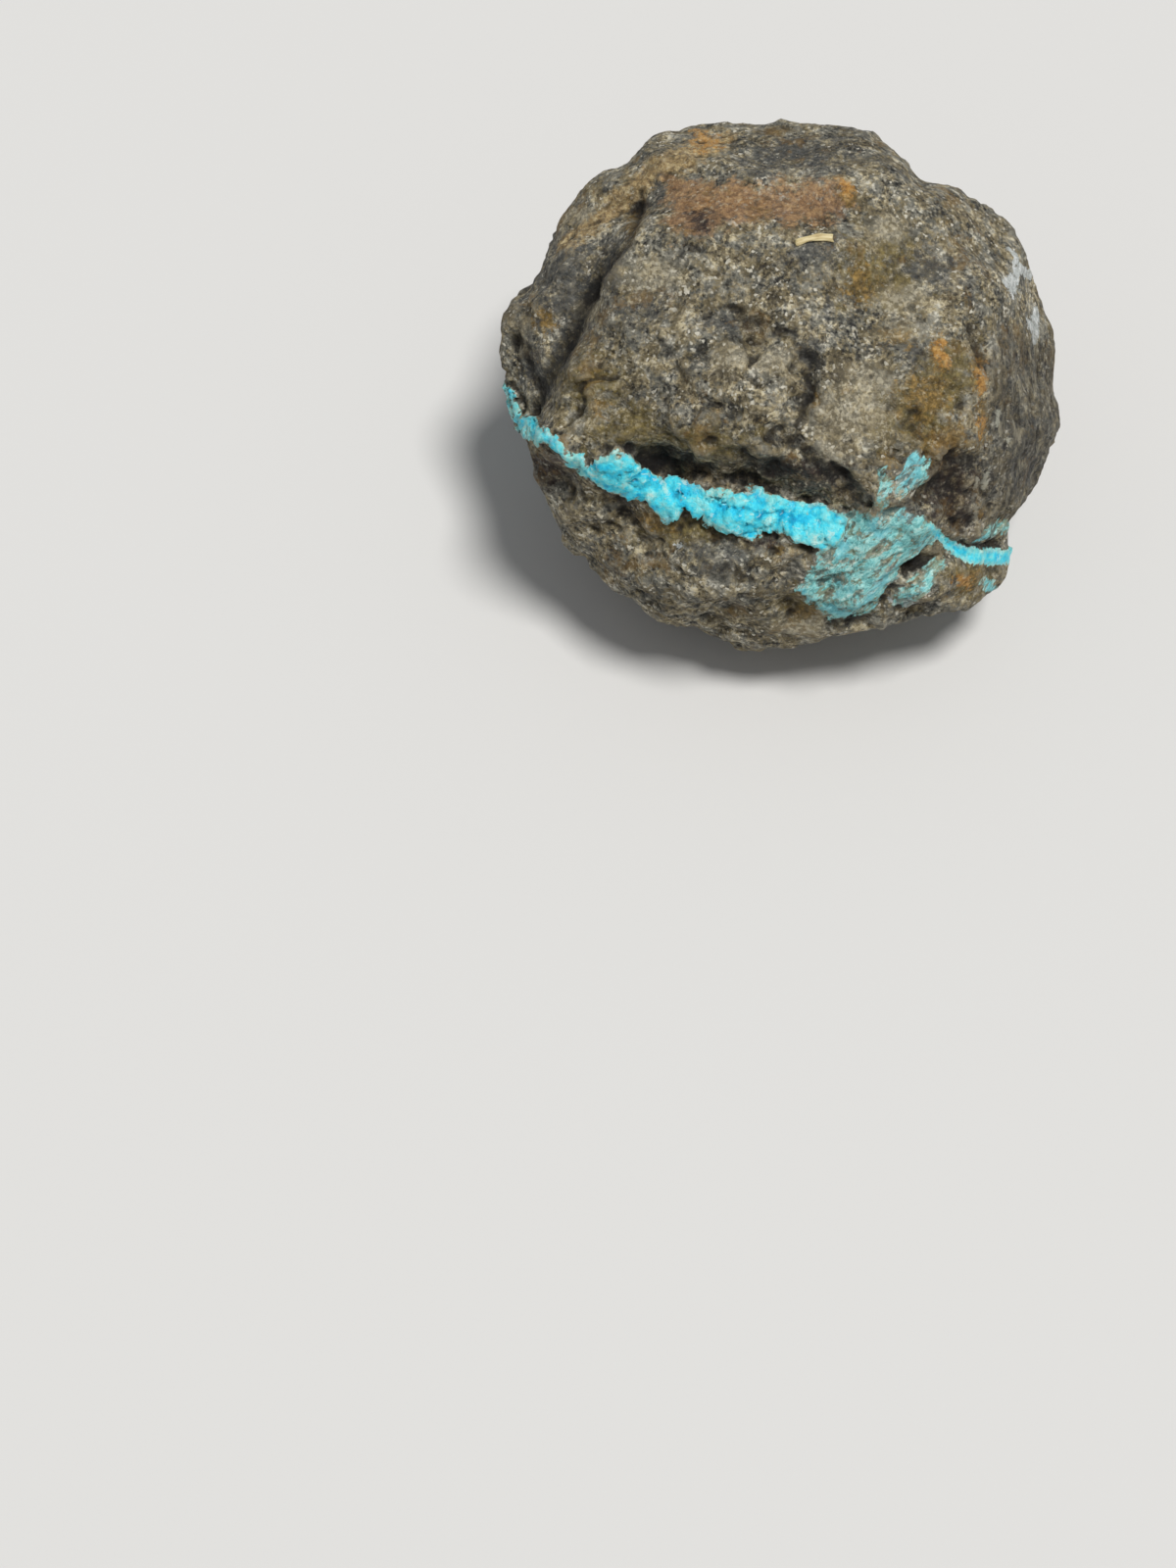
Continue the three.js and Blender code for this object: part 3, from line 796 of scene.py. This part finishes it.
def rock_colour(look, place):
    """Grey-brown host rock: cloudy patches, and grains from dark to pale."""
    coarse = look.noise(place, 0.7, 4, 0.8, 0.4)
    grain = look.add((coarse, 1.0), (look.grains(place, 0.42), 0.26), (0.62, -1.0))
    lively = look.spread(look.noise(place, 3.6, 3, 0.65), 0.4, 0.62, 0.3, 0.78)
    tone = look.add(
        (look.maths("MULTIPLY", grain, lively), 1.0),
        (look.noise(place, 1.7, 4, 0.7, 0.5), 0.65),
        (look.noise(place, 5.5, 3, 0.6), 0.37),
    )
    grey = look.ramp(tone, GREY_TONES)
    brown = look.ramp(tone, BROWN_TONES)
    shade = look.blend(look.spread(look.noise(place, 2.8, 5, 0.8), 0.42, 0.58), grey, brown)
    sooty = look.spread(look.noise(place, 2.8, 4, 0.7), 0.55, 0.67, 0.0, 0.7)
    shade = look.blend(sooty, shade, colour(*SOOT))
    crystal = look.grains(place, 0.36)
    sparse = look.spread(look.noise(place, 2.2, 3, 0.7), 0.42, 0.6)
    bright = look.maths("MULTIPLY", look.spread(crystal, 0.88, 0.95, 0.0, 0.85), sparse)
    shade = look.blend(bright, shade, colour(*CRYSTAL))
    return look.blend(look.spread(crystal, 0.12, 0.05, 0.0, 0.6), shade, colour(*DARK_GRAIN))


def stain(look, base, field, place, tones, strength, size=1.3, ragged=2.0, soft=1.0):
    """A stain over a base colour, with broken edges and mottled shades."""
    value = look.add((field, 1.0), (look.rough(place, size, 5, 0.75), ragged * 2))
    share = look.spread(value, -0.1, soft - 0.1, 0.0, strength)
    mottle = look.noise(place, 0.8, 4, 0.75)
    return look.blend(share, base, look.ramp(mottle, tones))


def with_stains(look, shade, place):
    """The host rock's stains, each over the last."""
    red = look.attribute("red")
    red_band = look.spread(red, -2.4, 1.2, -0.9, 0.9, smooth=False)
    warm = look.spread(red, 0, 3, -1.4, 0.3, smooth=False)
    strip = look.spread(look.attribute("strip"), -1.2, 0.6, -0.6, 0.8, smooth=False)
    ochre = look.spread(look.attribute("ochre"), -0.9, 0.7, -1.3, 1.0, smooth=False)
    orange = look.spread(look.attribute("orange"), -0.9, 0.7, -1.3, 1.0, smooth=False)
    rusty = look.spread(look.noise(place, 6.5, 4, 0.7), 0.48, 0.68, -0.7, 0.7)
    shade = stain(look, shade, look.attribute("slate"), place, SLATE_TONES, strength=0.8)
    shade = stain(look, shade, look.attribute("olive"), place, OLIVE_TONES, strength=0.85, size=2.2)
    shade = stain(look, shade, red_band, place, RED_TONES, strength=0.85, size=1.6)
    shade = stain(look, shade, warm, place, WARM_TONES, strength=0.5, size=2.4)
    shade = stain(look, shade, look.attribute("umber"), place, UMBER_TONES, strength=0.95)
    shade = stain(look, shade, strip, place, STRIP_TONES, strength=0.85, size=1.0)
    shade = stain(look, shade, ochre, place, OCHRE_TONES, strength=0.85, size=1.0, ragged=3.2)
    shade = stain(look, shade, orange, place, ORANGE_TONES, strength=0.8, size=1.0, ragged=3.2)
    shade = stain(look, shade, rusty, place, RUST_TONES, strength=0.6)
    # Patches of the guessed back
    held_back = look.add((look.attribute("behind"), 1.5), (1.5, -1.0))
    olive_patch = look.spread(look.noise(place, 10, 3, 0.6), 0.44, 0.6, -1.0, 0.8)
    slate_patch = look.spread(look.noise(place, 8, 3, 0.6), 0.5, 0.36, -1.0, 0.8)
    for patch, tones in ((olive_patch, OLIVE_TONES), (slate_patch, SLATE_TONES)):
        field = look.add((patch, 1.0), (held_back, 1.0))
        shade = stain(look, shade, field, place, tones, strength=0.7, size=2.2)
    return shade


def with_pale_grains(look, shade, place):
    """Pale grains, thick in some places, and the white crust."""
    field = look.attribute("pale")
    speckle = look.add((look.grains(place, 0.38), 0.5), (look.noise(place, 0.7, 4, 0.8), 1.0))
    pale = look.add((look.spread(field, -0.4, 1.0), 0.24), (speckle, 1.0))
    shade = look.blend(look.spread(field, -0.6, 0.6, 0.0, 0.3), shade, colour(*PALE_FILM))
    shade = look.blend(look.spread(pale, 0.92, 1.14, 0.0, 0.5), shade, colour(*PALE_GRAIN))
    crust = look.spread(look.attribute("crust"), -0.8, 0.5, -2.6, 1.5, smooth=False)
    return stain(look, shade, crust, place, CRUST_TONES, strength=0.85, size=0.9, ragged=3.6, soft=0.14)


def with_streaks(look, shade, place):
    """Pale upright streaks on the flank, with dark gaps between, and a few thin dashes."""
    flank = look.attribute("flank")
    upright = look.noise(look.stretched(place, (1.0, 0.18, 0.45)), 0.8, 4, 0.75)
    streak = look.maths("MULTIPLY", look.spread(upright, 0.52, 0.64), flank)
    gap = look.maths("MULTIPLY", look.spread(upright, 0.46, 0.36), flank)
    layers = ((flank, 0.45, FLANK_ROCK), (streak, 0.6, FLANK_STREAK), (gap, 0.7, FLANK_GAP))
    for field, share, tone in layers:
        shade = look.blend(look.maths("MULTIPLY", field, share), shade, colour(*tone))
    dash = look.add((look.attribute("dashes"), 1.0), (look.rough(place, 0.6, 4, 0.75), 1.6))
    return look.blend(look.spread(dash, -0.1, 0.15, 0.0, 0.6), shade, colour(*DASH))


def with_dirt_and_shade(look, shade, place):
    """Painted shade and dirt in hollows; rubbed edges lightened, partly as a painted highlight."""
    proud = look.attribute("proud")
    crevice = look.add((look.attribute("crevice"), 1.0), (look.noise(place, 1.1, 4, 0.7), 2.4))
    hollow = look.spread(look.attribute("wide_proud"), -0.1, -1.3, 0.0, 0.75)
    groove = look.spread(look.attribute("groove"), -0.9, 0.6, 0.0, 0.75)
    recess = look.spread(look.attribute("recess"), -2.4, 0.8, 0.0, 0.6)
    # Painted shade, partly dirt, in small hollows and crevices; painted shade in wide hollows
    shade = look.blend(look.spread(proud, 0.0, -0.28, 0.0, 0.75), shade, colour(*DIRT_AND_SHADE))
    shade = look.blend(hollow, shade, colour(*HOLLOW_SHADE), "MULTIPLY")
    shade = look.blend(look.spread(crevice, 0.5, 1.7, 0.0, 0.75), shade, colour(*DIRT_AND_SHADE))
    # Painted shade in the groove and the recesses
    shade = look.blend(groove, shade, colour(*GROOVE_SHADE), "MULTIPLY")
    shade = look.blend(recess, shade, colour(*RECESS_SHADE), "MULTIPLY")
    # Rubbed edges lightened, partly wear and partly a painted highlight
    return look.blend(look.spread(proud, 0.05, 0.3, 0.0, 0.25), shade, colour(*RUBBED_EDGE_AND_HIGHLIGHT))


def with_fan(look, shade, place, slant):
    """Muted blue-green of the fan, streaked along its ledges."""
    fan = look.attribute("fan")
    streaky = look.stretched(slant, (0.42, 1.0, 0.8))
    teal = look.ramp(look.noise(streaky, 0.9, 5, 0.85, 0.5), TEAL_TONES)
    rusty = look.spread(look.noise(streaky, 1.6, 4, 0.75), 0.53, 0.61, 0.0, 0.75)
    teal = look.blend(rusty, teal, colour(*FAN_RUST))
    blue = look.spread(look.noise(place, 4.2, 3, 0.6), 0.5, 0.62, 0.0, 0.45)
    teal = look.blend(blue, teal, colour(*FAN_BLUE))
    frayed = look.add((fan, 1.0), (look.rough(streaky, 0.9, 4, 0.7), 3.2))
    gaps = look.noise(streaky, 1.2, 4, 0.75, 0.6)
    bare = look.add((gaps, 1.0), (look.attribute("ledge"), -0.1), (fan, -0.015))
    covered = look.spread(bare, 0.44, 0.54, 1.0, 0.2)
    share = look.maths("MULTIPLY", look.spread(frayed, -0.1, 0.3), covered)
    return look.blend(share, shade, teal)


def seam_colour(look, place, frayed):
    """Bright sky blue, paler at the seam's rim, with thin threads and a few specks of rock."""
    tone = look.add((look.noise(place, 2.6, 6, 0.75), 0.85), (look.attribute("knot"), 0.15))
    sky = look.ramp(tone, SKY_TONES)
    rim = look.ramp(look.noise(place, 0.7, 3, 0.6), RIM_TONES)
    sky = look.blend(look.spread(frayed, 0.75, 0.0, 0.0, 0.75), sky, rim)
    joint = look.spread(look.attribute("knot_edge"), 0.16, 0.0, 0.0, 0.3)
    # Painted shade in the seam's small hollows
    hollow = look.spread(look.attribute("proud"), -0.04, -0.3, 0.0, 0.5)
    thread = look.spread(look.noise(place, 1.4, 5, 0.7, 1.2), 0.57, 0.63, 0.0, 0.55)
    specks = look.spread(look.noise(place, 0.9, 4, 0.7), 0.64, 0.7, 0.0, 0.7)
    sky = look.blend(joint, sky, colour(*SEAM_JOINT))
    sky = look.blend(hollow, sky, colour(*SEAM_HOLLOW_SHADE))
    sky = look.blend(thread, sky, colour(*SEAM_THREAD))
    return look.blend(specks, sky, colour(*SEAM_SPECK))


def stone_material():
    look = Look("weathered turquoise rock")
    place = look.attribute("face_place", "Vector")
    slant = look.attribute("slant_place", "Vector")
    shade = rock_colour(look, place)
    for layer in (with_stains, with_pale_grains, with_streaks, with_dirt_and_shade):
        shade = layer(look, shade, place)
    shade = with_fan(look, shade, place, slant)
    frayed = look.add((look.attribute("seam"), 1.0), (look.rough(place, 0.8, 4, 0.6), 1.2))
    seam_share = look.spread(frayed, -0.02, 0.12)
    shade = look.blend(seam_share, shade, seam_colour(look, place, frayed))
    look.join(shade, look.shader.inputs["Base Color"])
    dull, glossy = ROCK_ROUGHNESS
    gloss = look.spread(look.grains(place, 0.5), 0.2, 0.95, dull, glossy)
    waxy = (SEAM_ROUGHNESS, SEAM_ROUGHNESS, SEAM_ROUGHNESS, 1.0)
    look.join(look.blend(seam_share, gloss, waxy), look.shader.inputs["Roughness"])
    look.shader.inputs["Specular IOR Level"].default_value = STONE_SPECULAR
    # Grit too fine for the mesh
    grit = look.add((look.noise(place, 0.7, 4, 0.75), 1.0), (look.grains(place, 0.45), 0.25))
    look.join(look.bump(grit, 0.9, GRIT_BUMP * MM), look.shader.inputs["Normal"])
    return look.material


def straw_material():
    look = Look("straw")
    place = look.attribute("lengthwise", "Vector")
    fibre = look.noise(look.stretched(place, (0.25, 3.0, 3.0)), 0.5, 4, 0.6)
    look.join(look.ramp(fibre, STRAW_TONES), look.shader.inputs["Base Color"])
    look.shader.inputs["Roughness"].default_value = STRAW_ROUGHNESS
    look.join(look.bump(fibre, 0.5, STRAW_BUMP * MM), look.shader.inputs["Normal"])
    return look.material


def floor_material():
    look = Look("pale floor")
    look.shader.inputs["Base Color"].default_value = colour(*FLOOR)
    look.shader.inputs["Roughness"].default_value = FLOOR_ROUGHNESS
    return look.material


# Chip of straw


def straw_base(stone, spots):
    """The height at which each ring of the chip lies: a smooth line over the stone's tops there."""
    ground = to_face(read_vectors(stone.data.vertices, "co"))
    near = [np.hypot(ground[:, 0] - s[0], ground[:, 1] - s[1]) < STRAW_REACH for s in spots]
    tops = np.array([ground[mask & (ground[:, 2] > 0), 2].max() for mask in near])
    rings = np.arange(STRAW_RINGS)
    base = np.polyval(np.polyfit(rings, tops, 2), rings)
    return base + 0.3 * (tops - base).max() - STRAW_SUNK


def build_straw(stone):
    """A split, slightly bent chip that lies on the stone's surface."""
    start, end = (np.array(spot) for spot in STRAW_ENDS)
    length = np.linalg.norm(end - start)
    ahead = (end - start) / length
    across = np.array((-ahead[1], ahead[0]))
    last = STRAW_RINGS - 1
    spots = [start + ahead * length * k / last for k in range(STRAW_RINGS)]
    base = straw_base(stone, spots)
    verts = []
    places = []
    for k, spot in enumerate(spots):
        along = k / last
        bend = STRAW_BEND * math.sin(along * math.pi)
        width = STRAW_WIDTH * (0.5 - 0.07 * math.sin(along * 5) + 0.04 * math.sin(along * 13))
        for j in range(STRAW_SIDES):
            angle = 2 * math.pi * j / STRAW_SIDES
            ragged = STRAW_FRAY * math.sin(3 * angle) * (k in (0, last))
            middle = spot + across * (bend + width * math.cos(angle)) + ahead * ragged
            lift = STRAW_THICKNESS * (0.45 + 0.5 * math.sin(angle) + 0.08 * math.cos(2 * angle))
            verts.append((*middle, base[k] + lift))
            places.append((along * length, width * math.cos(angle), lift))
    rings = [[k * STRAW_SIDES + j for j in range(STRAW_SIDES)] for k in range(STRAW_RINGS)]
    faces = [
        (ring[j], ring[(j + 1) % STRAW_SIDES], after[(j + 1) % STRAW_SIDES], after[j])
        for ring, after in zip(rings, rings[1:])
        for j in range(STRAW_SIDES)
    ]
    faces += [tuple(reversed(rings[0])), tuple(rings[-1])]
    mesh = bpy.data.meshes.new("straw_chip")
    mesh.from_pydata([tuple(v) for v in from_face(np.array(verts))], [], faces)
    add_attribute(mesh, "lengthwise", np.array(places))
    sound = bmesh.new()
    sound.from_mesh(mesh)
    bmesh.ops.recalc_face_normals(sound, faces=sound.faces)
    sound.to_mesh(mesh)
    sound.free()
    mesh.shade_smooth()
    mesh.materials.append(straw_material())
    piece = bpy.data.objects.new("straw_chip", mesh)
    bpy.context.scene.collection.objects.link(piece)
    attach(piece, "root")


# Stage, light and camera


def build_floor():
    bpy.ops.mesh.primitive_plane_add(size=FLOOR_SIZE)
    floor = bpy.context.object
    floor.name = "floor"
    floor.data.materials.append(floor_material())


def build_light():
    """A pale sky, and one soft sun a little to the right of the stone."""
    world = bpy.data.worlds.new("studio")
    world.use_nodes = True
    backdrop = world.node_tree.nodes["Background"]
    backdrop.inputs["Color"].default_value = SKY_COLOUR
    backdrop.inputs["Strength"].default_value = SKY_STRENGTH
    bpy.context.scene.world = world
    sun = bpy.data.lights.new("key", "SUN")
    sun.energy = SUN_POWER
    sun.angle = SUN_WIDTH
    holder = bpy.data.objects.new("key", sun)
    holder.location = Vector(MIDDLE * MM) + Vector(SUN_FROM)
    holder.rotation_euler = Vector(SUN_FROM).to_track_quat("Z", "Y").to_euler()
    bpy.context.scene.collection.objects.link(holder)


def build_camera():
    """The photograph's view: square on to the face, with the stone up and to the right in the frame."""
    pixel = SENSOR / PHOTO_HEIGHT
    right = (STONE_AT[0] - PHOTO_WIDTH / 2) * pixel
    up = (PHOTO_HEIGHT / 2 - STONE_AT[1]) * pixel
    to_stone = Vector((right, up, -LENS))
    distance = MM_PER_PIXEL / pixel * to_stone.length
    outward = Vector(FACE_Z)
    square_on = outward.to_track_quat("Z", "Y").to_matrix()
    turned = to_stone.rotation_difference(Vector((0, 0, -1))).to_matrix()
    lens = bpy.data.cameras.new("camera")
    lens.lens = LENS
    lens.sensor_width = SENSOR
    camera = bpy.data.objects.new("camera", lens)
    camera.matrix_world = Matrix.Translation(Vector(MIDDLE * MM) + outward * distance * MM) @ (
        square_on @ turned
    ).to_4x4()
    bpy.context.scene.collection.objects.link(camera)
    bpy.context.scene.camera = camera


bpy.context.scene.view_settings.view_transform = "Standard"
build_straw(build_stone())
build_floor()
build_light()
build_camera()
